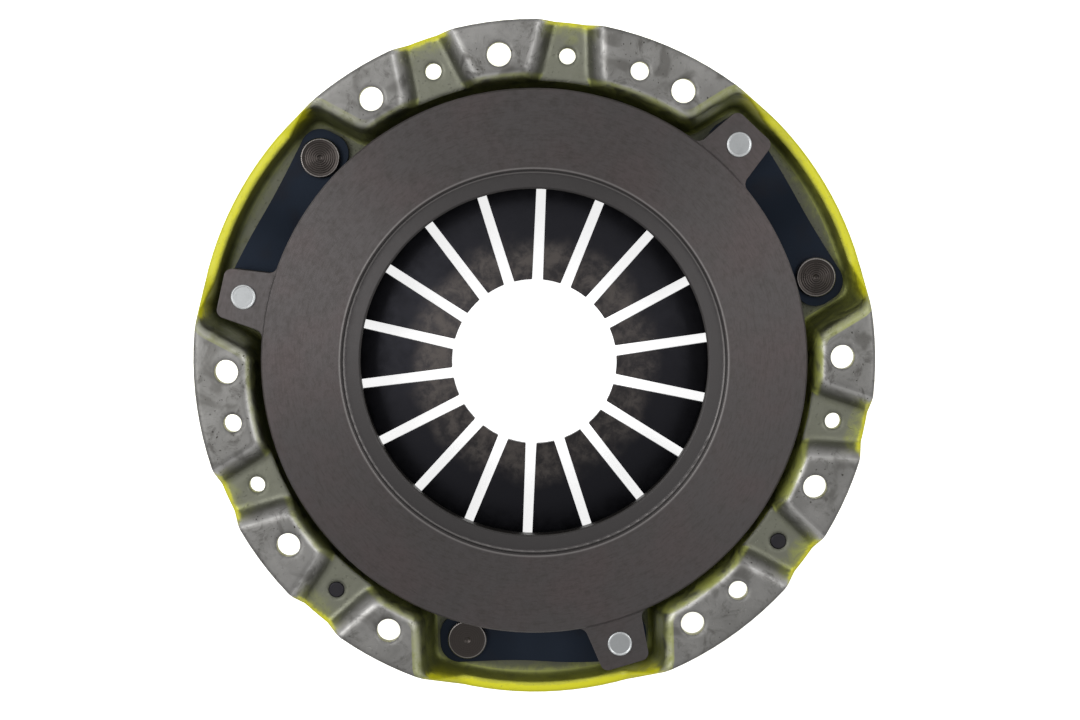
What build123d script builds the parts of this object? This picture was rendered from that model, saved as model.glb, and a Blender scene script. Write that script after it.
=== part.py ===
from build123d import *
from math import atan, cos, degrees, radians, sin, sqrt, tan
import os

# Clutch cover assembly of the pull type for a 240 mm disc.
# Lengths are millimetres. The origin is the centre of the bolt flange's mounting face,
# +Z points at the flywheel and +Y runs through the middle bolt hole of one flange third.
# The pressure plate is drawn free, as before bolting up, pushed out by the diaphragm spring.

# The flange, the lugs and the drive straps repeat round the axis
sectors = 3
sector_angle = 360 / sectors

# Ground ring of the pressure plate, which sets how large the whole assembly is
plate_radius = 120.0
plate_thickness = 16.1
face_inner_radius = 85.2
face_z = -1.4

# The cover's radii follow the plate's: room round the plate, then the bolts, then the flange's edge
plate_room = 5.0
bolt_inset = 10.0
flange_edge = 14.2
pan_radius = plate_radius + plate_room
bolt_circle = 2 * (pan_radius + bolt_inset)
flange_radius = bolt_circle / 2 + flange_edge

# Bolt flange of the pressed cover
sheet = 4.0
bolt_hole = 10.5
bolt_angles = (55.0, 90.0, 115.0)
dowel_hole = 8.0
dowel_angles = (183.8, 304.7)
wide_dowel_hole = 8.5
wide_dowel_angle = 65.6

# Channels pressed between the bolt pads, with a balance hole in each
channel_depth = 8.0
channel_offset = 12.6
channel_angles = (bolt_angles[1] - channel_offset, bolt_angles[1] + channel_offset)
channel_outer_width = 11.0
channel_inner_width = 23.0
channel_end_corner = 5.0
channel_wall_run = 7.0
channel_bend = 2.0
balance_hole = 7.2
balance_angles = (77.4, 342.6)

# Pan of the cover, and the draft of every steep wall
press_draft = 10.0
pan_bend = 5.0
mouth_bend = 5.0
dome_hole_radius = 86.0

# Strap pockets: a rim lower than the pads, and a deeper floor that carries the straps
pocket_angle = 145.35
rim_overhang = 2.4
rim_depth = 18.5
rim_half_length = 37.0
rim_bend = 8.0
rim_end_round = 40.0
rim_land = 6.0
pocket_half_length = 50.0
pocket_corner = 6.0
pocket_bend = 2.5
pad_corner = 8.0
rim_radius = flange_radius + rim_overhang
pocket_radius = rim_radius - rim_land

# The pockets' own outline stays this far inside the pan's wall, so that the pan's wall is one cone
pan_inset = 0.1

# Rims and back of the pressure plate
land_wall_run = 1.0
land_outer_radius = face_inner_radius - land_wall_run
land_cove = 1.2
land_drop = 3.1
bore_radius = 76.6
bore_back_radius = 77.8
edge_chamfer = 0.8
back_band_step = 8.0
back_band_radius = plate_radius - back_band_step
ridge_radius = 93.0
ridge_width = 14.0
ridge_crest = 3.0
ridge_round = 1.4

# Lugs of the pressure plate
lug_drop = 1.4
lug_thickness = 11.7
lug_end_margin = 10.3
lug_root_width = 26.0
lug_end_width = 21.4
lug_corner = 3.5
lug_fillet = 4.0

# Diaphragm spring, whose outer edge stays inside the plate's
fingers = 18
finger_clock = 1.3
tip_radius = 36.8
tip_z = -14.8
spring_inset = 5.0
spring_radius = plate_radius - spring_inset
spring_thickness = 2.8
cone_angle = 8.1
slot_tip_width = 4.8
slot_root_width = 4.2
window_radius = 86.0
window_length = 15.0
window_width = 9.0
tip_corner = 0.4

# Pivot ring between the spring's outer edge and the cover
pivot_inset = 3.5
pivot_radius = spring_radius - pivot_inset
pivot_wire = 4.0
seat_gap = 0.05

# The pressure plate's ridge stands this far off the spring
ridge_gap = 0.3

# Drive straps: packs of thin leaves from the cover to the lugs
strap_leaves = 4
leaf_thickness = 0.8
strap_cover_z = -24.2
strap_width = 22.0
strap_overhang = 12.5
strap_corner = 9.0
strap_flat = 10.0
cover_rivet_room = 6.8
cover_rivet_angle = 130.1
lug_rivet_room = 10.7
lug_rivet_angle = 160.6
cover_rivet_radius = pan_radius + cover_rivet_room
lug_rivet_radius = plate_radius + lug_rivet_room
lug_reach = lug_rivet_radius + lug_end_margin

# Rivets from the straps to the cover
cover_rivet_shank = 8.0
cover_rivet_head = 17.8
cover_rivet_head_height = 3.2
cover_rivet_tail = 13.0
cover_rivet_tail_height = 2.6
cover_rivet_dimple = 3.4
cover_rivet_dimple_depth = 0.7

# Rivets from the straps to the lugs
lug_rivet_shank = 9.0
lug_rivet_end = 10.8
lug_rivet_end_height = 0.9
lug_rivet_rim = 0.9
lug_rivet_head = 14.0
lug_rivet_head_height = 2.6
access_hole = 20.0

# Balance rivets, set from behind so that only the shank's end shows in its hole
balance_head = 11.0
balance_head_height = 2.4
balance_end_rise = 0.5

# The forming solids reach this far above the pads, and their bends start this far above
press_top = 2.0
bend_rise = 0.05

# How far off its level a corner may lie and still be picked
tiny = 0.001

# Heights and slopes that follow from the sizes above
strap_pack = strap_leaves * leaf_thickness
plate_back_z = face_z - plate_thickness
land_z = face_z - land_drop
lug_top_z = face_z - lug_drop
lug_back_z = lug_top_z - lug_thickness
pocket_floor_z = strap_cover_z - strap_pack
press_lean = tan(radians(press_draft))
pocket_wall_run = -pocket_floor_z * press_lean
rim_mouth_half_length = pocket_half_length + pocket_wall_run
cone_rise = tan(radians(cone_angle))
spring_depth = spring_thickness / cos(radians(cone_angle))


def spring_top(radius):
    """Height of the spring's flywheel side at a radius."""
    return tip_z - (radius - tip_radius) * cone_rise


ridge_z = spring_top(ridge_radius - ridge_crest / 2) + ridge_gap
dome_z = spring_top(pivot_radius) - spring_depth - pivot_wire - 2 * seat_gap
cover_back_z = dome_z - sheet


def on_circle(radius, angle):
    """Point in plan at a radius and an angle in degrees."""
    return (radius * cos(radians(angle)), radius * sin(radians(angle)))


def radial_plane(angle, distance):
    """Upright plane square to the radius at an angle, with its X along the rim."""
    outwards = Vector(*on_circle(1, angle))
    along = Vector(*on_circle(1, angle + 90))
    return Plane(origin=outwards * distance, x_dir=along, z_dir=outwards)


def trough(plane, floor_half, mouth_half, depth, skin, bend):
    """Section of a pressed trough, with round bends at its floor and at the pads it sinks from."""
    slope = (mouth_half - floor_half) / depth
    shift = skin * (sqrt(1 + slope**2) - slope)
    shoulder = bend_rise - skin
    mouth = mouth_half + shift + bend_rise * slope
    reach = mouth + 2 * mouth_bend
    with BuildSketch(plane) as section:
        with BuildLine():
            Polyline(
                (-reach, press_top),
                (-reach, shoulder),
                (-mouth, shoulder),
                (-floor_half - shift, -depth - skin),
                (floor_half + shift, -depth - skin),
                (mouth, shoulder),
                (reach, shoulder),
                (reach, press_top),
                close=True,
            )
        make_face()
        if bend > 0:
            fillet(section.vertices().group_by(Axis.Y)[0], radius=bend + skin)
        mouth_corners = section.vertices().filter_by_position(Axis.Y, shoulder - tiny, shoulder + tiny)
        fillet(mouth_corners.sort_by(Axis.X)[1:-1], radius=mouth_bend - skin)
    return section.sketch


def wall_shift(lean, skin):
    """How far a leaning wall moves out at each level when the sheet is laid on its back."""
    return skin * (sqrt(1 + lean**2) - lean)


def drawn_pan(skin):
    """Round pan with a drafted wall, a round floor bend and a round mouth bend."""
    floor_z = dome_z - skin
    floor_radius = pan_radius + dome_z * press_lean + wall_shift(press_lean, skin)
    shoulder = bend_rise - skin
    mouth_radius = floor_radius + (shoulder - floor_z) * press_lean
    reach = mouth_radius + 2 * mouth_bend
    with BuildPart() as pan:
        with BuildSketch(Plane.XZ) as section:
            with BuildLine():
                Polyline(
                    (0, floor_z),
                    (floor_radius, floor_z),
                    (mouth_radius, shoulder),
                    (reach, shoulder),
                    (reach, press_top),
                    (0, press_top),
                    close=True,
                )
            make_face()
            fillet(section.vertices().group_by(Axis.Y)[0].sort_by(Axis.X)[-1], radius=pan_bend + skin)
            mouth_corners = section.vertices().filter_by_position(Axis.Y, shoulder - tiny, shoulder + tiny)
            fillet(mouth_corners.sort_by(Axis.X)[0], radius=mouth_bend - skin)
        revolve(axis=Axis.Z)
    return pan.part


def round_junctions(plan, circle_radius, radius):
    """Rounds the corners where a plan's arms leave its middle circle."""
    corners = plan.vertices().filter_by(lambda corner: abs(corner.center().length - circle_radius) < tiny)
    fillet(corners, radius=radius)


def drawn_pockets(plan, floor_z, lean, bend, skin):
    """Pockets drawn from their plan at the floor, with round bends at the floor and at the pads."""
    shoulder = bend_rise - skin
    with BuildPart() as pockets:
        extrude(plan, amount=shoulder - floor_z, taper=-degrees(atan(lean)))
        fillet(pockets.faces().sort_by(Axis.Z)[0].edges(), radius=bend + skin)
        with BuildSketch(Plane.XY.offset(shoulder)):
            Circle(2 * rim_radius)
        extrude(amount=press_top - shoulder)
        # The longest edge at this height is the slab's own, and the others are the pockets' mouth
        shoulder_edges = pockets.edges().filter_by_position(Axis.Z, shoulder - tiny, shoulder + tiny)
        fillet(shoulder_edges.sort_by(SortBy.LENGTH)[:-1], radius=mouth_bend - skin)
    return pockets.part


def strap_pockets(skin):
    """The three strap pockets, drawn together with the pan that they open to."""
    floor_z = pocket_floor_z - skin
    middle_radius = pan_radius - pocket_wall_run - pan_inset
    with BuildSketch(Plane.XY.offset(floor_z)) as plan:
        with PolarLocations(0, sectors, start_angle=pocket_angle):
            Rectangle(2 * rim_radius, 2 * pocket_half_length, align=(Align.MIN, Align.CENTER))
        Circle(pocket_radius, mode=Mode.INTERSECT)
        fillet(plan.vertices().group_by(SortBy.DISTANCE)[-1], radius=pocket_corner)
        Circle(middle_radius)
        round_junctions(plan, middle_radius, pad_corner + pocket_wall_run)
        offset(amount=wall_shift(press_lean, skin))
    return drawn_pockets(plan.sketch, floor_z, press_lean, pocket_bend, skin)


def channels(skin):
    """The channels between the bolt pads, which narrow outwards from the pan to past the flange's edge."""
    floor_z = -channel_depth - skin
    lean = channel_wall_run / channel_depth
    middle_radius = pan_radius - channel_wall_run - pan_inset
    inner_end = middle_radius - channel_inner_width / 4
    outer_end = flange_radius + 2 * sheet
    with BuildSketch(Plane.XY.offset(floor_z)) as plan:
        for angle in channel_angles:
            with PolarLocations(0, sectors, start_angle=angle):
                Polygon(
                    (inner_end, -channel_inner_width / 2),
                    (outer_end, -channel_outer_width / 2),
                    (outer_end, channel_outer_width / 2),
                    (inner_end, channel_inner_width / 2),
                    align=None,
                )
        fillet(plan.vertices().group_by(SortBy.DISTANCE)[-1], radius=channel_end_corner)
        Circle(middle_radius)
        round_junctions(plan, middle_radius, pad_corner + channel_wall_run)
        offset(amount=wall_shift(lean, skin))
    return drawn_pockets(plan.sketch, floor_z, lean, channel_bend, skin)


def press_space(skin):
    """Room on the flywheel side of the cover's sheet, grown by skin to the sheet's far side."""
    pan = drawn_pan(skin)
    pockets = strap_pockets(skin)
    grooves = channels(skin)
    with BuildPart() as space:
        with BuildSketch(Plane.XY.offset(-skin)):
            Circle(2 * rim_radius)
        extrude(amount=2 * press_top + skin)
        add(pan)
        add(pockets)
        add(grooves)
        for sector in range(sectors):
            rim_section = trough(
                radial_plane(pocket_angle + sector * sector_angle, pan_radius),
                rim_half_length, rim_mouth_half_length, rim_depth, skin, rim_bend,
            )
            extrude(rim_section, amount=rim_radius / 2)
    return space.part


def rim_outline():
    """Corners of a kite about local X, whose sides carry the blank's edge out from the flange to a rim."""
    rim_reach = sqrt(rim_radius**2 - rim_half_length**2)
    flange_reach = sqrt(flange_radius**2 - rim_mouth_half_length**2)
    slope = (rim_reach - flange_reach) / (rim_mouth_half_length - rim_half_length)
    return [
        (0, 0),
        (flange_reach, -rim_mouth_half_length),
        (rim_reach + slope * rim_half_length, 0),
        (flange_reach, rim_mouth_half_length),
    ]


sheet_face = press_space(0)
sheet_back = press_space(sheet)

with BuildPart() as cover:
    with BuildSketch(Plane.XY.offset(cover_back_z - sheet)) as blank:
        with PolarLocations(0, sectors, start_angle=pocket_angle):
            Polygon(rim_outline(), align=None)
        Circle(rim_radius, mode=Mode.INTERSECT)
        fillet(blank.vertices().group_by(SortBy.DISTANCE)[-1], radius=rim_end_round)
        Circle(flange_radius)
    extrude(amount=press_top - cover_back_z + sheet)
    add(sheet_back, mode=Mode.INTERSECT)
    add(sheet_face, mode=Mode.SUBTRACT)
    Hole(radius=dome_hole_radius)
    for angle in bolt_angles:
        with PolarLocations(bolt_circle / 2, sectors, start_angle=angle):
            Hole(radius=bolt_hole / 2)
    for angle in channel_angles:
        with PolarLocations(bolt_circle / 2, sectors, start_angle=angle):
            Hole(radius=balance_hole / 2)
    for angle in dowel_angles:
        with Locations(on_circle(bolt_circle / 2, angle)):
            Hole(radius=dowel_hole / 2)
    with Locations(on_circle(bolt_circle / 2, wide_dowel_angle)):
        Hole(radius=wide_dowel_hole / 2)
    with PolarLocations(cover_rivet_radius, sectors, start_angle=cover_rivet_angle):
        Hole(radius=cover_rivet_shank / 2)
    with PolarLocations(lug_rivet_radius, sectors, start_angle=lug_rivet_angle):
        Hole(radius=access_hole / 2)


def lug_outline(inner_radius):
    """Corners of one lug about local X, tapering outwards from a radius inside the ring."""
    taper = (lug_root_width - lug_end_width) / 2 / (lug_reach - plate_radius)
    inner_half = lug_root_width / 2 + (plate_radius - inner_radius) * taper
    return [
        (inner_radius, -inner_half),
        (lug_reach, -lug_end_width / 2),
        (lug_reach, lug_end_width / 2),
        (inner_radius, inner_half),
    ]


with BuildPart() as pressure_plate:
    with BuildSketch(Plane.XZ) as ring_section:
        with BuildLine():
            Polyline(
                (bore_radius, land_z - edge_chamfer),
                (bore_radius + edge_chamfer, land_z),
                (land_outer_radius, land_z),
                (face_inner_radius - edge_chamfer, face_z - edge_chamfer),
                (face_inner_radius, face_z),
                (plate_radius - edge_chamfer, face_z),
                (plate_radius, face_z - edge_chamfer),
                (plate_radius, lug_back_z),
                (back_band_radius, lug_back_z),
                (back_band_radius - edge_chamfer, plate_back_z),
                (ridge_radius + ridge_width / 2, plate_back_z),
                (ridge_radius + ridge_crest / 2, ridge_z),
                (ridge_radius - ridge_crest / 2, ridge_z),
                (ridge_radius - ridge_width / 2, plate_back_z),
                (bore_back_radius, plate_back_z),
                close=True,
            )
        make_face()
        fillet(ring_section.vertices().group_by(Axis.Y)[0], radius=ridge_round)
        fillet(ring_section.vertices().sort_by_distance((land_outer_radius, land_z))[0], radius=land_cove)
    revolve(axis=Axis.Z)
    with BuildSketch(Plane.XY.offset(lug_back_z)) as lug_plan:
        with PolarLocations(0, sectors, start_angle=lug_rivet_angle):
            Polygon(lug_outline(back_band_radius), align=None)
        fillet(lug_plan.vertices().group_by(SortBy.DISTANCE)[-1], radius=lug_corner)
        Circle(plate_radius)
        root_corners = lug_plan.vertices().filter_by(
            lambda corner: abs(corner.center().length - plate_radius) < tiny
        )
        fillet(root_corners, radius=lug_fillet)
        Circle(back_band_radius + edge_chamfer, mode=Mode.SUBTRACT)
    extrude(amount=lug_thickness)
    with PolarLocations(lug_rivet_radius, sectors, start_angle=lug_rivet_angle):
        Hole(radius=lug_rivet_shank / 2)

with BuildPart() as diaphragm_spring:
    with BuildSketch(Plane.XY.offset(tip_z + spring_depth)) as finger_plan:
        Circle(spring_radius)
        Circle(tip_radius, mode=Mode.SUBTRACT)
        with PolarLocations(0, fingers, start_angle=finger_clock):
            Polygon(
                (tip_radius - spring_thickness, -slot_tip_width / 2),
                (window_radius, -slot_root_width / 2),
                (window_radius, slot_root_width / 2),
                (tip_radius - spring_thickness, slot_tip_width / 2),
                align=None,
                mode=Mode.SUBTRACT,
            )
        with PolarLocations(window_radius, fingers, start_angle=finger_clock):
            SlotOverall(window_length, window_width, mode=Mode.SUBTRACT)
        tip_corners = finger_plan.vertices().filter_by(lambda corner: corner.center().length < tip_radius + 1)
        fillet(tip_corners, radius=tip_corner)
    extrude(amount=2 * dome_z)
    with BuildSketch(Plane.XZ) as cone_section:
        with BuildLine():
            Polyline(
                (tip_radius / 2, spring_top(tip_radius / 2)),
                (spring_radius + 1, spring_top(spring_radius + 1)),
                (spring_radius + 1, spring_top(spring_radius + 1) - spring_depth),
                (tip_radius / 2, spring_top(tip_radius / 2) - spring_depth),
                close=True,
            )
        make_face()
    revolve(axis=Axis.Z, mode=Mode.INTERSECT)

with BuildPart() as pivot_ring:
    with BuildSketch(Plane.XZ):
        with Locations((pivot_radius, dome_z + seat_gap + pivot_wire / 2)):
            Circle(pivot_wire / 2)
    revolve(axis=Axis.Z)

# Drive straps, each a pack of spring steel leaves bent from the pocket floor up to its lug
cover_end = Vector(*on_circle(cover_rivet_radius, cover_rivet_angle))
lug_end = Vector(*on_circle(lug_rivet_radius, lug_rivet_angle))
strap_span = (lug_end - cover_end).length
strap_along = (lug_end - cover_end).normalized()
strap_side = Plane(origin=cover_end, x_dir=strap_along, z_dir=strap_along.cross(Vector(0, 0, 1)))
strap_plan = Plane(origin=(cover_end + lug_end) / 2, x_dir=strap_along, z_dir=(0, 0, 1))


def strap_leaf(drop):
    """One leaf of a drive strap, this far below the top leaf."""
    low = strap_cover_z - drop
    high = lug_back_z - drop
    middle = strap_span / 2
    with BuildPart() as leaf:
        with BuildSketch(strap_side):
            with BuildLine():
                Line((-strap_overhang, low), (strap_flat, low))
                Bezier(
                    (strap_flat, low), (middle, low), (middle, high), (strap_span - strap_flat, high)
                )
                Line((strap_span - strap_flat, high), (strap_span + strap_overhang, high))
                Line(
                    (strap_span + strap_overhang, high),
                    (strap_span + strap_overhang, high - leaf_thickness),
                )
                Line(
                    (strap_span + strap_overhang, high - leaf_thickness),
                    (strap_span - strap_flat, high - leaf_thickness),
                )
                Bezier(
                    (strap_span - strap_flat, high - leaf_thickness), (middle, high - leaf_thickness),
                    (middle, low - leaf_thickness), (strap_flat, low - leaf_thickness),
                )
                Line((strap_flat, low - leaf_thickness), (-strap_overhang, low - leaf_thickness))
                Line((-strap_overhang, low - leaf_thickness), (-strap_overhang, low))
            make_face()
        extrude(amount=strap_width / 2, both=True)
        with BuildSketch(strap_plan.offset(2 * dome_z)):
            RectangleRounded(strap_span + 2 * strap_overhang, strap_width, strap_corner)
            with Locations((-strap_span / 2, 0)):
                Circle(cover_rivet_shank / 2, mode=Mode.SUBTRACT)
            with Locations((strap_span / 2, 0)):
                Circle(lug_rivet_shank / 2, mode=Mode.SUBTRACT)
        extrude(amount=-2 * dome_z, mode=Mode.INTERSECT)
    return leaf.part


with BuildPart() as cover_rivet:
    with BuildSketch(Plane.XZ):
        head_top = strap_cover_z + cover_rivet_head_height
        tail_top = pocket_floor_z - sheet
        with BuildLine():
            Polyline(
                (0, head_top - cover_rivet_dimple_depth),
                (cover_rivet_dimple / 2, head_top),
                (cover_rivet_head / 2 - edge_chamfer, head_top),
                (cover_rivet_head / 2, head_top - edge_chamfer),
                (cover_rivet_head / 2, strap_cover_z),
                (cover_rivet_shank / 2, strap_cover_z),
                (cover_rivet_shank / 2, tail_top),
                (cover_rivet_tail / 2, tail_top),
                (cover_rivet_tail / 2 - edge_chamfer, tail_top - cover_rivet_tail_height),
                (0, tail_top - cover_rivet_tail_height),
                close=True,
            )
        make_face()
    revolve(axis=Axis.Z)

with BuildPart() as lug_rivet:
    with BuildSketch(Plane.XZ):
        end_top = lug_top_z + lug_rivet_end_height
        head_under = lug_back_z - strap_pack
        with BuildLine():
            Polyline(
                (0, end_top - lug_rivet_end_height / 3),
                (lug_rivet_end / 2 - lug_rivet_rim, end_top - lug_rivet_end_height / 3),
                (lug_rivet_end / 2 - lug_rivet_rim / 2, end_top),
                (lug_rivet_end / 2, end_top - lug_rivet_end_height / 3),
                (lug_rivet_end / 2, lug_top_z),
                (lug_rivet_shank / 2, lug_top_z),
                (lug_rivet_shank / 2, head_under),
                (lug_rivet_head / 2, head_under),
                (lug_rivet_head / 2 - edge_chamfer, head_under - lug_rivet_head_height),
                (0, head_under - lug_rivet_head_height),
                close=True,
            )
        make_face()
    revolve(axis=Axis.Z)

with BuildPart() as balance_rivet:
    with BuildSketch(Plane.XZ):
        with BuildLine():
            Polyline(
                (0, -channel_depth + balance_end_rise),
                (balance_hole / 2 - balance_end_rise, -channel_depth + balance_end_rise),
                (balance_hole / 2, -channel_depth),
                (balance_hole / 2, -channel_depth - sheet),
                (balance_head / 2, -channel_depth - sheet),
                (balance_head / 2 - edge_chamfer, -channel_depth - sheet - balance_head_height),
                (0, -channel_depth - sheet - balance_head_height),
                close=True,
            )
        make_face()
    revolve(axis=Axis.Z)


os.makedirs("parts", exist_ok=True)
cover.part.label = "cover"
export_step(cover.part, "parts/cover.step")
pressure_plate.part.label = "pressure_plate"
export_step(pressure_plate.part, "parts/pressure_plate.step")
diaphragm_spring.part.label = "diaphragm_spring"
export_step(diaphragm_spring.part, "parts/diaphragm_spring.step")
pivot_ring.part.label = "pivot_ring"
export_step(pivot_ring.part, "parts/pivot_ring.step")
for leaf_number in range(strap_leaves):
    leaf = strap_leaf(leaf_number * leaf_thickness)
    for sector in range(sectors):
        placed = leaf.rotate(Axis.Z, sector * sector_angle)
        placed.label = f"drive_strap_{sector + 1}_leaf_{leaf_number + 1}"
        export_step(placed, f"parts/{placed.label}.step")
for sector in range(sectors):
    centre = Vector(*on_circle(cover_rivet_radius, cover_rivet_angle + sector * sector_angle))
    placed = cover_rivet.part.moved(Location(centre))
    placed.label = f"strap_cover_rivet_{sector + 1}"
    export_step(placed, f"parts/{placed.label}.step")
    centre = Vector(*on_circle(lug_rivet_radius, lug_rivet_angle + sector * sector_angle))
    placed = lug_rivet.part.moved(Location(centre))
    placed.label = f"strap_lug_rivet_{sector + 1}"
    export_step(placed, f"parts/{placed.label}.step")
for number, angle in enumerate(balance_angles, start=1):
    placed = balance_rivet.part.moved(Location(Vector(*on_circle(bolt_circle / 2, angle))))
    placed.label = f"balance_rivet_{number}"
    export_step(placed, f"parts/{placed.label}.step")
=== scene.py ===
"""Looks of a pull-type clutch cover assembly: its finishes, its bending parts, the stage and the camera."""
from math import cos, pi, radians, sin

import bmesh
import bpy
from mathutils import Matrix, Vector
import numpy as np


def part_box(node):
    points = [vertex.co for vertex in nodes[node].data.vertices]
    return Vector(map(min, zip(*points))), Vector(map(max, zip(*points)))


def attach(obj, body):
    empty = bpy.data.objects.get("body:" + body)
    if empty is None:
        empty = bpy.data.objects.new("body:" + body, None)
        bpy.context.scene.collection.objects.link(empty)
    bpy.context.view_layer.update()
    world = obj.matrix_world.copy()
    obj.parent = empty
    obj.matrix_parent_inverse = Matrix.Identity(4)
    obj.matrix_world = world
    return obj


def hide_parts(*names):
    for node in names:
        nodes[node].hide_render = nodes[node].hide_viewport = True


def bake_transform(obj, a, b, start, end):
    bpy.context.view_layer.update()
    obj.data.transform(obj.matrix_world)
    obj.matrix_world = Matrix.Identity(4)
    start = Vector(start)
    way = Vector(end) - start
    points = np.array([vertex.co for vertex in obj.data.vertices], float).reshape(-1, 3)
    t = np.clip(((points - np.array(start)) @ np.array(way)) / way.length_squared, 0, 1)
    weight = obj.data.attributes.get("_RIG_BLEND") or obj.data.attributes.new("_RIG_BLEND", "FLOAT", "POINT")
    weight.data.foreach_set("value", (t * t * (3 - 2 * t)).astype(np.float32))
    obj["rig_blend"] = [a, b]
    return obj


bl_info = {
    "name": "Clutch Cover Looks",
    "version": (1, 0, 0),
    "blender": (4, 5, 0),
    "location": "View3D > Sidebar > Clutch Cover",
    "description": "Finishes, bending straps and spring, and a stage for a clutch cover assembly",
    "category": "Object",
}

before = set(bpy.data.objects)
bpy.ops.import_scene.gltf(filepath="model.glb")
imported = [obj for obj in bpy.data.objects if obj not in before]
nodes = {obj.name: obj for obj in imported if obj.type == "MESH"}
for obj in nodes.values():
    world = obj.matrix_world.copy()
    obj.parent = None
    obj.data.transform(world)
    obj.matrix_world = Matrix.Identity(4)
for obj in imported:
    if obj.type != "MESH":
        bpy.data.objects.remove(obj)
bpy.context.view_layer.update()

MM = 0.001
COVER_BODY = "cover_assembly"
PLATE_BODY = "plate_assembly"

STRAPS = (1, 2, 3)
LEAVES = (1, 2, 3, 4)
SECTOR = 120.0
POCKET_ANGLE = 145.35
COVER_RIVET_ANGLE = 130.1
COVER_RIVET_RADIUS = 131.8 * MM
LUG_RIVET_ANGLE = 160.6
LUG_RIVET_RADIUS = 130.7 * MM
STRAP_FLAT = 10.0 * MM

# The spring turns about its pivot ring and carries the plate on the plate's ridge
PIVOT_RADIUS = 111.5 * MM
RIDGE_RADIUS = 93.0 * MM

# Corners of the small wall between the friction face and the turned land
UPPER_CORNER = 85.2 * MM
LOWER_CORNER = 84.2 * MM

# Heights between which the plate's machined faces give way to its cast skin
MACHINED_END = -4.8 * MM
SKIN_START = -5.6 * MM

SHARP_EDGE = radians(30)
WELD = 0.002 * MM
WHITE = "#ffffff"
FLOOR_WHITE = "#f4f4f4"


def srgb(code):
    """Linear colour of an sRGB hex code."""
    parts = [int(code[i:i + 2], 16) / 255 for i in (1, 3, 5)]
    linear = [part / 12.92 if part <= 0.04045 else ((part + 0.055) / 1.055) ** 2.4 for part in parts]
    return (*linear, 1.0)


def on_circle(radius, angle, height=0.0):
    """Point at a radius, an angle in degrees and a height."""
    return Vector((radius * cos(radians(angle)), radius * sin(radians(angle)), height))


def rivet_places(strap):
    """Places of a strap's cover rivet and lug rivet, seen along the axis."""
    turn = (strap - 1) * SECTOR
    cover_end = on_circle(COVER_RIVET_RADIUS, COVER_RIVET_ANGLE + turn)
    lug_end = on_circle(LUG_RIVET_RADIUS, LUG_RIVET_ANGLE + turn)
    return cover_end, lug_end


def colour_choice(name, description, code):
    """A colour in a group of settings, with its default as an sRGB code."""
    return bpy.props.FloatVectorProperty(
        name=name, description=description, default=srgb(code), size=4, min=0.0, max=1.0, subtype="COLOR"
    )


def length_choice(name, description, length, least=0.0):
    """A length in a group of settings."""
    return bpy.props.FloatProperty(
        name=name, description=description, default=length, min=least, precision=5, unit="LENGTH"
    )


def power_choice(name, description, power):
    """A lamp's power in watts in a group of settings."""
    return bpy.props.FloatProperty(name=name, description=description, default=power, min=0.0)


class CoverColours(bpy.types.PropertyGroup):
    steel: colour_choice("Pad steel", "Bare steel of the bolt pads", "#646361")
    # The burnished colour is partly steel rubbed bright and partly a painted highlight on the bends
    burnished_and_highlight: colour_choice("Burnished steel and bend highlight", "Steel rubbed bright by the die, and a painted highlight, along the bends", "#939290")
    smudge: colour_choice("Smudge", "Dark smudges, pits and scratches", "#34322e")
    channel: colour_choice("Channel steel", "Grey-green steel of the channels", "#5d5e52")
    # The pan colour is partly dark olive steel and partly painted shade for the deep pan and pockets
    pan: colour_choice("Pan steel", "Dark olive steel of the pan and the pockets", "#46473a")
    overspray: colour_choice("Overspray", "Thin yellow-green mist that settled in the corners", "#8b9040")
    paint: colour_choice("Paint", "Yellow paint of the outside and the pocket rims", "#cbc80c")


class IronColours(bpy.types.PropertyGroup):
    face: colour_choice("Ground face", "Friction face of the pressure plate", "#434040")
    blush: colour_choice("Blush", "Faint warm clouds on the friction face", "#464040")
    land: colour_choice("Land", "Turned land inside the friction face", "#3c3a3a")
    skin: colour_choice("Cast skin", "Sides and back of the casting", "#34312e")
    # The corner colour is a painted highlight: thin light lines on the chamfered corners
    corner: colour_choice("Corner highlight", "Thin painted highlight lines on the corners the lathe broke", "#696665")


class SpringColours(bpy.types.PropertyGroup):
    blued: colour_choice("Blued steel", "Heat-blued steel of the fingers", "#151519")
    temper: colour_choice("Temper band", "Grey-brown clouds near the finger tips", "#3e3a38")
    strap: colour_choice("Strap steel", "Blue-black steel of the drive straps", "#10161f")


class RivetColours(bpy.types.PropertyGroup):
    dark: colour_choice("Turned head", "Turned heads of the strap rivets", "#35312f")
    # The rubbed edge and bright zinc colours are partly wear and partly a painted highlight on the rivets'
    # rims
    rubbed: colour_choice("Rubbed edge", "Edges of the turned heads, rubbed and with a painted highlight", "#6f6b69")
    zinc: colour_choice("Zinc", "Dished middle of the lug rivets' plated ends", "#8b8d8e")
    bright: colour_choice("Bright zinc", "Raised rim of the lug rivets' plated ends, with a painted highlight", "#a4a6a7")
    black: colour_choice("Black rivet", "Blackened ends of the balance rivets", "#29282b")
    stain: colour_choice("Stain", "Dark clouds on every rivet", "#2c2a28")
    # This colour darkens the grooves between the rings of the turned heads
    groove_dark: colour_choice("Groove darkening", "Darker colour in the grooves of the turned heads", "#171514")


class GrooveSizes(bpy.types.PropertyGroup):
    pitch: length_choice("Pitch", "From one ring of a turned head to the next", 0.95 * MM, 0.2 * MM)
    first: length_choice("First ring", "Radius of the innermost ring", 1.6 * MM)
    depth: length_choice("Depth", "Depth of the grooves between the rings", 0.16 * MM)
    dimple: length_choice("Dimple", "Depth of the dimple in the middle of a turned head", 0.5 * MM)


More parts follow.
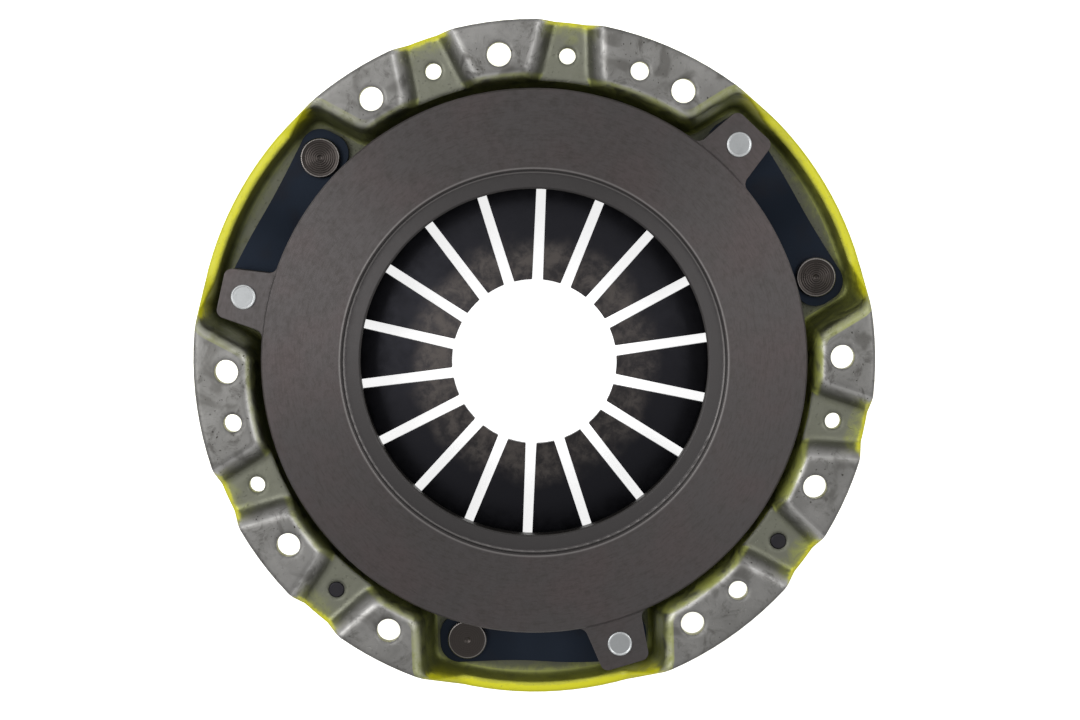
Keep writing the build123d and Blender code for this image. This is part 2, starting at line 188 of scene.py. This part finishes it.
class StageSettings(bpy.types.PropertyGroup):
    lamp_size: length_choice("Lamp size", "Side of each soft lamp", 0.9, 0.1)
    key_power: power_choice("Key power", "Power of the main lamp in watts", 13.0)
    fill_power: power_choice("Fill power", "Power of the fill lamp in watts", 9.0)
    top_power: power_choice("Top power", "Power of the top lamp in watts", 3.0)


SETTINGS = (
    ("cover_colours", CoverColours),
    ("iron_colours", IronColours),
    ("spring_colours", SpringColours),
    ("rivet_colours", RivetColours),
    ("groove_sizes", GrooveSizes),
    ("stage_settings", StageSettings),
)


def add_node(tree, kind, inputs=None, **settings):
    """Adds a shader node, sets its properties and fills its inputs with values or links."""
    made = tree.nodes.new(kind)
    for name, value in settings.items():
        setattr(made, name, value)
    for key, value in (inputs or {}).items():
        if isinstance(value, bpy.types.NodeSocket):
            tree.links.new(value, made.inputs[key])
        else:
            made.inputs[key].default_value = value
    return made


def cleared_tree(owner):
    """The emptied node tree of a material or a world."""
    owner.use_nodes = True
    owner.node_tree.nodes.clear()
    return owner.node_tree


def new_material(name):
    """An empty material and its node tree, with a Principled surface wired to the output."""
    material = bpy.data.materials.new(name)
    tree = cleared_tree(material)
    surface = add_node(tree, "ShaderNodeBsdfPrincipled")
    add_node(tree, "ShaderNodeOutputMaterial", {"Surface": surface.outputs["BSDF"]})
    return material, tree, surface


def join(tree, socket, value):
    """Links a socket of the surface to a value made by other nodes."""
    tree.links.new(value, socket)


def object_place(tree):
    """Object coordinates, in metres."""
    return add_node(tree, "ShaderNodeTexCoord").outputs["Object"]


def axis_distance(tree, place):
    """Distance of a place from the Z axis."""
    flat = add_node(tree, "ShaderNodeVectorMath", {0: place, 1: (1, 1, 0)}, operation="MULTIPLY")
    return add_node(
        tree, "ShaderNodeVectorMath", {0: flat.outputs[0]}, operation="LENGTH"
    ).outputs["Value"]


def place_sockets(tree):
    """Object coordinates, with the radius, the angle and the height they give."""
    place = object_place(tree)
    split = add_node(tree, "ShaderNodeSeparateXYZ", {0: place})
    angle = add_node(
        tree, "ShaderNodeMath", {0: split.outputs["Y"], 1: split.outputs["X"]}, operation="ARCTAN2"
    )
    return place, axis_distance(tree, place), angle.outputs[0], split.outputs["Z"]


def fade(tree, value, start, end, low=0.0, high=1.0):
    """A mask that runs smoothly from low at start to high at end."""
    return add_node(
        tree,
        "ShaderNodeMapRange",
        {"Value": value, "From Min": start, "From Max": end, "To Min": low, "To Max": high},
        interpolation_type="SMOOTHSTEP",
    ).outputs["Result"]


def noise(tree, place, size, detail=4.0, roughness=0.6, distortion=0.0):
    """Noise whose blotches are about this size in metres."""
    return add_node(
        tree,
        "ShaderNodeTexNoise",
        {
            "Vector": place, "Scale": 1 / size, "Detail": detail, "Roughness": roughness,
            "Distortion": distortion,
        },
    ).outputs["Fac"]


def turned_rings(tree, radius, width, detail, roughness):
    """Uneven rings of about this width, as a lathe or a grinder leaves them."""
    return add_node(
        tree,
        "ShaderNodeTexNoise",
        {"W": radius, "Scale": 1 / width, "Detail": detail, "Roughness": roughness},
        noise_dimensions="1D",
    ).outputs["Fac"]


def times(tree, first, second):
    """Product of two masks."""
    return add_node(tree, "ShaderNodeMath", {0: first, 1: second}, operation="MULTIPLY").outputs[0]


def larger(tree, first, *others):
    """The largest of several masks."""
    for other in others:
        first = add_node(tree, "ShaderNodeMath", {0: first, 1: other}, operation="MAXIMUM").outputs[0]
    return first


def wandering(tree, radius, pattern, reach):
    """Radius pushed outward by a pattern, so that a border drawn at a radius wanders."""
    return add_node(
        tree, "ShaderNodeMath", {0: radius, 1: times(tree, pattern, reach)}, operation="ADD"
    ).outputs[0]


def blended(tree, mask, first, second):
    """Colour that runs from the first to the second with a mask."""
    return add_node(
        tree, "ShaderNodeMix", {0: mask, 6: first, 7: second}, data_type="RGBA"
    ).outputs[2]


def relief(tree, height, depth, below):
    """Normal of a relief of this depth in metres, laid over another normal."""
    return add_node(
        tree, "ShaderNodeBump", {"Height": height, "Distance": depth, "Strength": 1.0, "Normal": below}
    ).outputs["Normal"]


def soft_edges(tree, radius):
    """Normal that rounds the edges by a radius, as stamping and handling do."""
    return add_node(tree, "ShaderNodeBevel", {"Radius": radius}, samples=6).outputs["Normal"]


def pocket_turn(tree, angle):
    """Angle from the middle of the nearest strap pocket, to either side."""
    turn = add_node(
        tree, "ShaderNodeMath",
        {0: angle, 1: radians(POCKET_ANGLE - SECTOR / 2)}, operation="SUBTRACT",
    ).outputs[0]
    wrapped = add_node(
        tree, "ShaderNodeMath", {0: turn, 1: radians(SECTOR)}, operation="FLOORED_MODULO"
    ).outputs[0]
    centred = add_node(
        tree, "ShaderNodeMath", {0: wrapped, 1: radians(SECTOR / 2)}, operation="SUBTRACT"
    ).outputs[0]
    return add_node(tree, "ShaderNodeMath", {0: centred}, operation="ABSOLUTE").outputs[0]


def corner_dirt(tree, reach):
    """Mask of the inner corners, where spray and dirt gather within this reach."""
    openness = add_node(
        tree, "ShaderNodeAmbientOcclusion", {"Distance": reach}, samples=8, only_local=True
    ).outputs["AO"]
    return fade(tree, openness, 0.85, 0.45)


def seen_rays(tree):
    """Mask of the rays that show the white surroundings: the camera's, reflected and transmitted ones."""
    rays = add_node(tree, "ShaderNodeLightPath").outputs
    return larger(tree, rays["Is Camera Ray"], rays["Is Glossy Ray"], rays["Is Transmission Ray"])


def pressed_steel(colours):
    """Pressed mild steel sheet: mill grey, with its bends partly rubbed bright and partly given a painted
    highlight, and with painted rims and outside.
    """
    material, tree, surface = new_material("pressed_steel_partly_painted")
    place, radius, angle, height = place_sockets(tree)
    rounded = soft_edges(tree, 3.2 * MM)
    own = add_node(tree, "ShaderNodeNewGeometry").outputs["Normal"]
    facing = add_node(tree, "ShaderNodeSeparateXYZ", {0: own}).outputs["Z"]
    clouds = noise(tree, place, 24 * MM, 5, 0.62)
    smears = noise(tree, place, 9 * MM, 6, 0.72, 0.8)
    blotches = noise(tree, place, 15 * MM, 3, 0.5, 0.6)
    grain = noise(tree, place, 1.8 * MM, 5, 0.7)
    pits = noise(tree, place, 1.3 * MM, 2, 0.4)

    # The pads are grey with dark smears and clusters of pits, and their bends are lighter: partly steel
    # rubbed bright by the die, partly a painted highlight for the side light the bends catch
    bare = blended(tree, fade(tree, clouds, 0.35, 0.72, 0.0, 0.30), colours.steel, colours.burnished_and_highlight)
    # Painted highlight: the tilted steel of the bends is drawn towards the burnished colour, for the side
    # light they catch
    bends = times(tree, fade(tree, facing, 0.998, 0.88), fade(tree, height, -5.5 * MM, -2.0 * MM))
    bends = times(tree, bends, fade(tree, clouds, 0.25, 0.55, 0.45, 1.0))
    bare = blended(tree, bends, bare, colours.burnished_and_highlight)
    smeared = times(tree, fade(tree, smears, 0.50, 0.68, 0.0, 0.60), fade(tree, clouds, 0.66, 0.48))
    pitted = times(tree, fade(tree, pits, 0.33, 0.27), fade(tree, clouds, 0.55, 0.42))
    blotched = fade(tree, blotches, 0.53, 0.68, 0.0, 0.5)
    bare = blended(tree, larger(tree, smeared, blotched, pitted), bare, colours.smudge)

    # It dulls to grey-green down in the channels, and to dark olive in the pan and the pockets, where the
    # darkening is partly painted shade that deepens with depth
    low = fade(tree, height, -3.0 * MM, -7.0 * MM, 0.0, 0.85)
    bare = blended(tree, low, bare, colours.channel)
    # Partly painted shade: below the channels the steel darkens to dark olive, the deeper the more
    deep_olive_and_shade = fade(tree, height, -8.5 * MM, -13 * MM)
    bare = blended(tree, deep_olive_and_shade, bare, colours.pan)

    # Overspray hangs in the corners and over the bends beside the pockets, most towards +Y
    corners = times(tree, corner_dirt(tree, 7 * MM), fade(tree, height, -1.5 * MM, -4.0 * MM))
    beside = fade(tree, pocket_turn(tree, angle), radians(29), radians(24))
    shoulder = times(tree, beside, fade(tree, facing, 0.999, 0.96, 0.0, 0.7))
    lip = times(tree, fade(tree, facing, 0.985, 0.84), fade(tree, radius, 127.5 * MM, 125.5 * MM))
    drift = fade(tree, wandering(tree, radius, smears, 16 * MM), 148 * MM, 159 * MM, 0.0, 0.9)
    drift = times(tree, drift, fade(tree, height, -1.0 * MM, -4.0 * MM))
    inner_rim = fade(tree, radius, 143.5 * MM, 146 * MM, 0.0, 0.8)
    inner_rim = times(tree, inner_rim, fade(tree, height, -6 * MM, -12 * MM))
    mist = larger(tree, corners, lip, shoulder, drift, inner_rim)
    aside = add_node(tree, "ShaderNodeSeparateXYZ", {0: place}).outputs["Y"]
    mist = times(tree, mist, fade(tree, aside, -120 * MM, 100 * MM, 0.45, 1.0))
    mist = times(tree, mist, fade(tree, smears, 0.30, 0.60, 0.45, 0.90))
    tinted = blended(tree, mist, bare, colours.overspray)

    # Paint covers the outside and the pocket rims, and strays over the edges of the channels
    stray = wandering(tree, radius, smears, 4 * MM)
    rim = times(tree, fade(tree, radius, 145.5 * MM, 150 * MM), fade(tree, height, -6 * MM, -12 * MM))
    outer = times(tree, fade(tree, stray, 148.7 * MM, 151 * MM), fade(tree, height, -2 * MM, -5 * MM))
    edge = times(tree, fade(tree, radius, 148.2 * MM, 149 * MM), fade(tree, facing, 0.9, 0.3))
    behind = fade(tree, facing, 0.02, -0.08)
    paint = larger(tree, rim, outer, edge, behind)
    paint = times(tree, paint, fade(tree, grain, 0.27, 0.36, 0.25, 1.0))
    worn = blended(tree, fade(tree, clouds, 0.50, 0.80, 0.0, 0.35), colours.paint, colours.overspray)
    join(tree, surface.inputs["Base Color"], blended(tree, paint, tinted, worn))

    # Where paint, mist or the dull olive of the pan covers the steel, it no longer shines as metal
    coat = larger(tree, paint, times(tree, mist, 0.7), times(tree, deep_olive_and_shade, 0.45))
    join(tree, surface.inputs["Metallic"], fade(tree, coat, 0.2, 0.8, 0.95, 0.0))
    join(tree, surface.inputs["Roughness"], fade(tree, smears, 0.3, 0.7, 0.34, 0.52))
    dents = relief(tree, fade(tree, pits, 0.34, 0.27, 1.0, 0.0), 0.12 * MM, rounded)
    dents = relief(tree, smears, 0.10 * MM, dents)
    join(tree, surface.inputs["Normal"], relief(tree, grain, 0.03 * MM, dents))
    return material


def ground_iron(colours):
    """Grey cast iron: a finely ground friction face, a turned land inside it and a dull cast skin."""
    material, tree, surface = new_material("grey_cast_iron_ground")
    place, radius, _, height = place_sockets(tree)
    rounded = soft_edges(tree, 0.5 * MM)
    clouds = noise(tree, place, 38 * MM, 4, 0.55)
    mottling = noise(tree, place, 3 * MM, 5, 0.65)
    grain = noise(tree, place, 0.9 * MM, 3, 0.6)
    rings = turned_rings(tree, radius, 0.8 * MM, 3.0, 0.65)

    # Seen on a much smaller circle than its own, the noise is drawn out along the ring into streaks
    outward = add_node(tree, "ShaderNodeVectorMath", {0: place}, operation="NORMALIZE").outputs[0]
    across = add_node(tree, "ShaderNodeCombineXYZ", {2: radius}).outputs[0]
    wrapped = add_node(
        tree, "ShaderNodeVectorMath", {0: outward, 1: (20 * MM, 20 * MM, 0), 2: across},
        operation="MULTIPLY_ADD",
    ).outputs[0]
    streaks = noise(tree, wrapped, 0.9 * MM, 5, 0.65)

    # Grinding leaves fine rings, and the graphite in the iron shows as a fine dark mottling
    face = blended(tree, fade(tree, clouds, 0.40, 0.70), colours.face, colours.blush)
    face = blended(tree, fade(tree, mottling, 0.40, 0.75, 0.0, 0.3), face, colours.skin)
    face = blended(tree, fade(tree, streaks, 0.45, 0.75, 0.0, 0.45), face, colours.skin)

    # The land is darker, and both corners of the wall beside it carry a thin painted highlight line, for the
    # light their chamfers catch
    face = blended(tree, fade(tree, radius, UPPER_CORNER, LOWER_CORNER), face, colours.land)
    upper_highlight = times(
        tree, fade(tree, radius, UPPER_CORNER - 0.3 * MM, UPPER_CORNER),
        fade(tree, radius, UPPER_CORNER + 0.9 * MM, UPPER_CORNER + 0.2 * MM, 0.0, 0.8),
    )
    lower_highlight = times(
        tree, fade(tree, radius, LOWER_CORNER - 0.9 * MM, LOWER_CORNER - 0.4 * MM),
        fade(tree, radius, LOWER_CORNER + 0.1 * MM, LOWER_CORNER - 0.2 * MM, 0.0, 0.8),
    )
    face = blended(tree, larger(tree, upper_highlight, lower_highlight), face, colours.corner)
    cast = fade(tree, height, MACHINED_END, SKIN_START)
    join(tree, surface.inputs["Base Color"], blended(tree, cast, face, colours.skin))
    surface.inputs["Metallic"].default_value = 0.9
    join(tree, surface.inputs["Roughness"], fade(tree, mottling, 0.3, 0.7, 0.40, 0.50))

    # The grooves spread light across themselves, so the face brightens on the sides that face a lamp
    tangent = add_node(tree, "ShaderNodeTangent", direction_type="RADIAL", axis="Z").outputs[0]
    join(tree, surface.inputs["Anisotropic"], fade(tree, cast, 0, 1, 0.75, 0.0))
    join(tree, surface.inputs["Tangent"], tangent)
    surface.inputs["Anisotropic Rotation"].default_value = 0.25
    turned = relief(tree, larger(tree, rings, streaks), 0.03 * MM, rounded)
    skin = times(tree, grain, fade(tree, height, MACHINED_END, SKIN_START, 0.22, 1.0))
    join(tree, surface.inputs["Normal"], relief(tree, skin, 0.10 * MM, turned))
    return material


def blued_spring(colours):
    """Hardened spring steel, blued nearly black, with grey-brown temper clouds near the finger tips."""
    material, tree, surface = new_material("blued_finger_spring_steel")
    place = object_place(tree)
    rounded = soft_edges(tree, 0.3 * MM)
    clouds = noise(tree, place, 16 * MM, 5, 0.55)
    wisps = noise(tree, place, 6 * MM, 6, 0.7, 0.3)
    grain = noise(tree, place, 1.2 * MM, 4, 0.6)

    # The band's inner side is the finger tips, and its outer side wanders with the clouds
    wander = wandering(tree, axis_distance(tree, place), clouds, 18 * MM)
    band = fade(tree, wander, 68 * MM, 56 * MM)
    mottled = times(tree, band, fade(tree, wisps, 0.36, 0.66, 0.25, 1.0))
    join(tree, surface.inputs["Base Color"], blended(tree, mottled, colours.blued, colours.temper))
    surface.inputs["Metallic"].default_value = 0.9
    join(tree, surface.inputs["Roughness"], fade(tree, wisps, 0.3, 0.7, 0.34, 0.50))
    join(tree, surface.inputs["Normal"], relief(tree, grain, 0.012 * MM, rounded))
    return material


def strap_steel(colours):
    """Cold rolled spring steel strip, blue-black and satin."""
    material, tree, surface = new_material("blue_black_strap_steel")
    place = object_place(tree)
    clouds = noise(tree, place, 14 * MM, 4, 0.5)
    grain = noise(tree, place, 0.8 * MM, 3, 0.5)
    tone = blended(tree, fade(tree, clouds, 0.45, 0.75, 0.0, 0.5), colours.strap, colours.blued)
    join(tree, surface.inputs["Base Color"], tone)
    surface.inputs["Metallic"].default_value = 0.9
    join(tree, surface.inputs["Roughness"], fade(tree, clouds, 0.3, 0.7, 0.40, 0.50))
    join(tree, surface.inputs["Normal"], relief(tree, grain, 0.008 * MM, soft_edges(tree, 0.25 * MM)))
    return material


def groove_darkening(tree, radius, sizes, outer_end, amount):
    """Mask of the grooves between a turned head's rings, up to their outer end, where the colour is
    darkened.
    """
    turns = add_node(
        tree, "ShaderNodeMath",
        {0: radius, 1: 2 * pi / sizes.pitch, 2: -2 * pi * sizes.first / sizes.pitch},
        operation="MULTIPLY_ADD",
    ).outputs[0]
    level = add_node(tree, "ShaderNodeMath", {0: turns}, operation="COSINE").outputs[0]
    grooved = fade(tree, radius, outer_end, outer_end - 0.4 * MM)
    return times(tree, fade(tree, level, 0.4, -0.8, 0.0, amount), grooved)


def turned_rivet(name, centre, tone, rim_wear_and_highlight, rim_start, ring_width, roughness, stain, groove_dark=0.0):
    """Rivet steel turned on a lathe, whose rings run round the rivet's own axis."""
    colours = bpy.context.scene.rivet_colours
    material, tree, surface = new_material(name)
    place = object_place(tree)
    centred = add_node(tree, "ShaderNodeMapping", {"Vector": place, "Location": -centre})
    radius = axis_distance(tree, centred.outputs[0])
    clouds = noise(tree, place, 4 * MM, 5, 0.65)
    rings = turned_rings(tree, radius, ring_width, 2.0, 0.5)
    shaded = blended(tree, fade(tree, clouds, 0.4, 0.7, 0.0, stain), tone, colours.stain)
    # Painted highlight: each head's rim is lightened, partly for wear and partly for the light its rounded
    # edge catches
    rim = fade(tree, radius, rim_start, rim_start + 0.3 * MM)
    shaded = blended(tree, rim, shaded, rim_wear_and_highlight)
    # The grooves between the rings are drawn darker
    if groove_dark:
        valleys = groove_darkening(tree, radius, bpy.context.scene.groove_sizes, rim_start, groove_dark)
        shaded = blended(tree, valleys, shaded, colours.groove_dark)
    join(tree, surface.inputs["Base Color"], shaded)
    surface.inputs["Metallic"].default_value = 1.0
    join(tree, surface.inputs["Roughness"], fade(tree, clouds, 0.3, 0.7, roughness, roughness + 0.15))
    rounded = soft_edges(tree, 0.5 * MM)
    join(tree, surface.inputs["Normal"], relief(tree, rings, 0.03 * MM, rounded))
    return material


def give(piece, material):
    """A piece with this one material."""
    piece.data.materials.clear()
    piece.data.materials.append(material)


def placed(name, data):
    """A new object in the scene with this mesh, lamp or camera."""
    piece = bpy.data.objects.new(name, data)
    bpy.context.scene.collection.objects.link(piece)
    return piece


def piece_of(name, form):
    """A new object in the scene with the mesh of this form, which it frees."""
    mesh = bpy.data.meshes.new(name)
    form.to_mesh(mesh)
    form.free()
    return placed(name, mesh)


def smooth_between_edges(form):
    """Shades a form smooth, with its sharp edges kept."""
    for face in form.faces:
        face.smooth = True
    for edge in form.edges:
        edge.smooth = edge.is_manifold and edge.calc_face_angle() < SHARP_EDGE


def bending_copy(name):
    """A copy of a CAD piece that can bend: welded into one skin, with its sharp edges kept."""
    mesh = nodes[name].data.copy()
    form = bmesh.new()
    form.from_mesh(mesh)
    bmesh.ops.remove_doubles(form, verts=form.verts, dist=WELD)
    smooth_between_edges(form)
    form.to_mesh(mesh)
    form.free()
    if "custom_normal" in mesh.attributes:
        mesh.attributes.remove(mesh.attributes["custom_normal"])
    piece = placed(f"bending_{name}", mesh)
    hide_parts(name)
    return piece


class CLUTCH_OT_cover(bpy.types.Operator):
    """Gives the pressed cover its bare and painted steel"""

    bl_idname = "clutch.cover"
    bl_label = "Cover"

    def execute(self, context):
        give(nodes["cover"], pressed_steel(context.scene.cover_colours))
        return {"FINISHED"}


class CLUTCH_OT_plate(bpy.types.Operator):
    """Gives the pressure plate its ground face and cast skin"""

    bl_idname = "clutch.plate"
    bl_label = "Pressure Plate"

    def execute(self, context):
        give(nodes["pressure_plate"], ground_iron(context.scene.iron_colours))
        return {"FINISHED"}


class CLUTCH_OT_spring(bpy.types.Operator):
    """Makes the diaphragm spring, whose fingers tilt about the pivot ring as the plate moves"""

    bl_idname = "clutch.spring"
    bl_label = "Diaphragm Spring"

    def execute(self, context):
        steel = blued_spring(context.scene.spring_colours)
        spring = bending_copy("diaphragm_spring")
        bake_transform(spring, COVER_BODY, PLATE_BODY, (PIVOT_RADIUS, 0, 0), (RIDGE_RADIUS, 0, 0))
        self.tilt(spring.data)
        give(spring, steel)
        give(nodes["pivot_ring"], steel)
        return {"FINISHED"}

    def tilt(self, mesh):
        """Shares of the plate's travel: none at the pivot, all at the ridge, more at the tips."""
        share = mesh.attributes["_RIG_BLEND"].data
        for vertex in mesh.vertices:
            lever = PIVOT_RADIUS - vertex.co.xy.length
            share[vertex.index].value = lever / (PIVOT_RADIUS - RIDGE_RADIUS)


class CLUTCH_OT_straps(bpy.types.Operator):
    """Makes the drive straps, whose leaves bend between the cover and the lugs"""

    bl_idname = "clutch.straps"
    bl_label = "Drive Straps"

    def execute(self, context):
        steel = strap_steel(context.scene.spring_colours)
        for strap in STRAPS:
            cover_end, lug_end = rivet_places(strap)
            along = (lug_end - cover_end).normalized()
            start = cover_end + along * STRAP_FLAT
            end = lug_end - along * STRAP_FLAT
            for leaf in LEAVES:
                strip = bending_copy(f"drive_strap_{strap}_leaf_{leaf}")
                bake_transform(strip, COVER_BODY, PLATE_BODY, start, end)
                give(strip, steel)
        return {"FINISHED"}


class CLUTCH_OT_rivets(bpy.types.Operator):
    """Turns the rings into the cover rivets' heads, and gives all rivets their finishes"""

    bl_idname = "clutch.rivets"
    bl_label = "Rivets"

    # Section of the cover rivet below its head's top
    head_height = 3.2 * MM
    tail_height = 2.6 * MM
    shank_radius = 4.0 * MM
    tail_radius = 6.5 * MM
    corner = 0.45 * MM
    spin_steps = 72

    # Each head's share of the groove depth and of the darkening in its grooves, which are fainter in the
    # third
    head_rings = {1: (1.0, 0.7), 2: (1.0, 0.7), 3: (0.5, 0.2)}

    def execute(self, context):
        colours = context.scene.rivet_colours
        for strap in STRAPS:
            cover_end, lug_end = rivet_places(strap)
            share, groove_dark = self.head_rings[strap]
            head = turned_rivet(
                f"turned_rivet_steel_{strap}", cover_end, colours.dark, colours.rubbed,
                rim_start=8.0 * MM, ring_width=0.6 * MM, roughness=0.24, stain=0.25, groove_dark=groove_dark,
            )
            give(self.turned_head(strap, context.scene.groove_sizes, share), head)
            plated = turned_rivet(
                f"bright_zinc_plate_{strap}", lug_end, colours.zinc, colours.bright,
                rim_start=4.3 * MM, ring_width=0.8 * MM, roughness=0.28, stain=0.10,
            )
            give(nodes[f"strap_lug_rivet_{strap}"], plated)
        for number in (1, 2):
            name = f"balance_rivet_{number}"
            low, high = (Vector(point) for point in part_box(name))
            dull = turned_rivet(
                f"blackened_rivet_steel_{number}", (low + high) / 2, colours.black, colours.dark,
                rim_start=4.0 * MM, ring_width=3.0 * MM, roughness=0.35, stain=0.2,
            )
            give(nodes[name], dull)
        return {"FINISHED"}

    def turned_head(self, strap, sizes, share):
        """A cover rivet spun from half its section, with turned rings and a centre dimple in its head."""
        name = f"strap_cover_rivet_{strap}"
        low, high = (Vector(point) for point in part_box(name))
        centre = (low + high) / 2
        section = self.ringed_top(high.z, (high.x - low.x) / 2, sizes, share)
        section += self.plain_rest(low.z, high.z, (high.x - low.x) / 2)
        form = bmesh.new()
        points = [form.verts.new((centre.x + reach, centre.y, level)) for reach, level in section]
        lines = [form.edges.new(pair) for pair in zip(points, points[1:])]
        bmesh.ops.spin(
            form, geom=points + lines, cent=(centre.x, centre.y, 0), axis=(0, 0, 1),
            angle=radians(360), steps=self.spin_steps, use_merge=True,
        )
        bmesh.ops.remove_doubles(form, verts=form.verts, dist=WELD)
        bmesh.ops.recalc_face_normals(form, faces=form.faces)
        smooth_between_edges(form)
        piece = piece_of(f"turned_head_{strap}", form)
        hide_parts(name)
        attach(piece, COVER_BODY)
        return piece

    def ringed_top(self, top, head_radius, sizes, share):
        """Half section of a head's top, from the dimple over the rings to the start of the corner."""
        section = [(0.0, top - sizes.dimple), (0.5 * sizes.first, top - 0.8 * sizes.dimple)]
        radius = sizes.first
        while radius < head_radius - 2 * self.corner:
            section.append((radius, top))
            section.append((radius + 0.5 * sizes.pitch, top - share * sizes.depth))
            radius += sizes.pitch
        section[-1] = (head_radius - self.corner, top)
        return section

    def plain_rest(self, bottom, top, head_radius):
        """Half section of the rest of the rivet, from the head's corner down to the tail."""
        return [
            (head_radius, top - self.corner),
            (head_radius, top - self.head_height),
            (self.shank_radius, top - self.head_height),
            (self.shank_radius, bottom + self.tail_height),
            (self.tail_radius, bottom + self.tail_height),
            (self.tail_radius, bottom + self.corner),
            (self.tail_radius - self.corner, bottom),
            (0.0, bottom),
        ]


class CLUTCH_OT_stage(bpy.types.Operator):
    """Sets the camera, the lamps, the white floor and the background"""

    bl_idname = "clutch.stage"
    bl_label = "Stage"

    camera_place = Vector((-57.0, -18.2, 700.8)) * MM
    camera_turn = (radians(-4.695), radians(0.285), radians(113.588))
    camera_lens = 53.58
    floor_side = 6.0
    floor_gap = 0.2 * MM
    floor_glow = 0.82
    # Strength of the surroundings as a light, and as they are seen
    soft_light = 0.4
    seen_white = 1.0
    # Where the photograph's right lies, in degrees round the object
    picture_right = 113.6
    # Each lamp's turn from the photograph's right and its elevation, in degrees, and its distance in metres
    lamps = {"key": (168, 52, 1.5), "fill": (18, 50, 1.7), "top": (100, 60, 1.8)}

    def execute(self, context):
        settings = context.scene.stage_settings
        self.camera(context)
        for name, (turn, elevation, distance) in self.lamps.items():
            azimuth = self.picture_right + turn
            power = getattr(settings, f"{name}_power")
            self.lamp(f"{name}_lamp", azimuth, elevation, distance, power, settings.lamp_size)
        self.floor()
        self.background(context)
        context.scene.view_settings.view_transform = "Standard"
        return {"FINISHED"}

    def camera(self, context):
        """Camera above the flywheel side, where the photograph was taken from."""
        data = bpy.data.cameras.new("camera")
        data.lens = self.camera_lens
        data.sensor_fit = "HORIZONTAL"
        data.clip_start = 0.05
        data.clip_end = 50
        eye = placed("camera", data)
        eye.location = self.camera_place
        eye.rotation_euler = self.camera_turn
        context.scene.camera = eye

    def lamp(self, name, azimuth, elevation, distance, power, side):
        """A soft square lamp that looks at the object."""
        data = bpy.data.lights.new(name, "AREA")
        data.shape = "SQUARE"
        data.size = side
        data.energy = power
        lamp = placed(name, data)
        flat = distance * cos(radians(elevation))
        lamp.location = on_circle(flat, azimuth, distance * sin(radians(elevation)))
        lamp.rotation_euler = lamp.location.to_track_quat("Z", "Y").to_euler()

    def floor(self):
        """A white floor under the cover's dome, bright enough to be plain white around the shadow."""
        form = bmesh.new()
        bmesh.ops.create_grid(form, x_segments=1, y_segments=1, size=self.floor_side / 2)
        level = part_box("cover")[0][2] - self.floor_gap
        bmesh.ops.translate(form, verts=form.verts, vec=(0, 0, level))
        floor = piece_of("floor", form)
        material = bpy.data.materials.new("white_floor")
        tree = cleared_tree(material)
        paper = add_node(tree, "ShaderNodeBsdfDiffuse", {"Color": srgb(FLOOR_WHITE)})
        glow = add_node(tree, "ShaderNodeEmission", {"Color": srgb(WHITE), "Strength": self.floor_glow})
        both = add_node(tree, "ShaderNodeAddShader", {0: paper.outputs[0], 1: glow.outputs[0]})
        shown = add_node(
            tree, "ShaderNodeMixShader", {0: seen_rays(tree), 1: paper.outputs[0], 2: both.outputs[0]}
        )
        add_node(tree, "ShaderNodeOutputMaterial", {"Surface": shown.outputs[0]})
        give(floor, material)

    def background(self, context):
        """White all round for the camera and for reflections, and a plain soft light for the rest."""
        world = bpy.data.worlds.new("white_surround")
        tree = cleared_tree(world)
        strength = fade(tree, seen_rays(tree), 0, 1, self.soft_light, self.seen_white)
        light = add_node(tree, "ShaderNodeBackground", {"Color": srgb(WHITE), "Strength": strength})
        add_node(tree, "ShaderNodeOutputWorld", {"Surface": light.outputs[0]})
        context.scene.world = world


class CLUTCH_PT_looks(bpy.types.Panel):
    bl_label = "Clutch Cover"
    bl_idname = "CLUTCH_PT_looks"
    bl_space_type = "VIEW_3D"
    bl_region_type = "UI"
    bl_category = "Clutch Cover"

    def draw(self, context):
        for name, group in SETTINGS:
            box = self.layout.box()
            for setting in group.__annotations__:
                box.prop(getattr(context.scene, name), setting)
        for operator in OPERATORS:
            self.layout.operator(operator.bl_idname)


OPERATORS = (
    CLUTCH_OT_cover,
    CLUTCH_OT_plate,
    CLUTCH_OT_spring,
    CLUTCH_OT_straps,
    CLUTCH_OT_rivets,
    CLUTCH_OT_stage,
)


def register():
    for name, group in SETTINGS:
        bpy.utils.register_class(group)
        setattr(bpy.types.Scene, name, bpy.props.PointerProperty(type=group))
    for operator in OPERATORS:
        bpy.utils.register_class(operator)
    bpy.utils.register_class(CLUTCH_PT_looks)


def unregister():
    bpy.utils.unregister_class(CLUTCH_PT_looks)
    for operator in reversed(OPERATORS):
        bpy.utils.unregister_class(operator)
    for name, group in reversed(SETTINGS):
        delattr(bpy.types.Scene, name)
        bpy.utils.unregister_class(group)


def main():
    register()
    bpy.ops.clutch.cover()
    bpy.ops.clutch.plate()
    bpy.ops.clutch.spring()
    bpy.ops.clutch.straps()
    bpy.ops.clutch.rivets()
    bpy.ops.clutch.stage()


if __name__ == "__main__":
    main()
